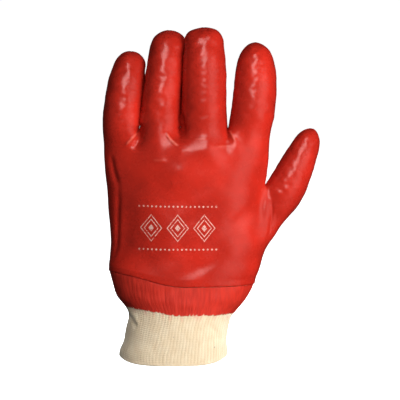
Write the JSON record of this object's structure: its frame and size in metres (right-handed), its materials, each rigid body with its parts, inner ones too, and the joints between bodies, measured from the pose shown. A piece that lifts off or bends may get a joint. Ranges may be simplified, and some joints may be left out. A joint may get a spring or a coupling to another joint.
{
  "type": "pvc coated work glove",
  "caption": "Left work glove with a glossy dipped coat over the hand, in its worn form, with a ribbed knit wrist that is coated down from the seam and open below.",
  "frame": {"origin": "middle of the wrist's mouth, at the height of the hem's front and back", "axes": "+Z from the wrist's mouth up the hand to the fingertips, +X towards the thumb, -Y out of the back of the hand and +Y out of its palm"},
  "size_m": [0.1681, 0.0542, 0.2601],
  "materials": {
    "hand_coat": "glossy dipped coat with a soft sheen",
    "band_coat": "duller coat over knitted ribs",
    "knit": "cotton rib knit"
  },
  "bodies": {
    "root": {"hand_shell": "hand_coat", "coated_band": "band_coat", "knit_wrist": "knit"}
  },
  "joints": []
}
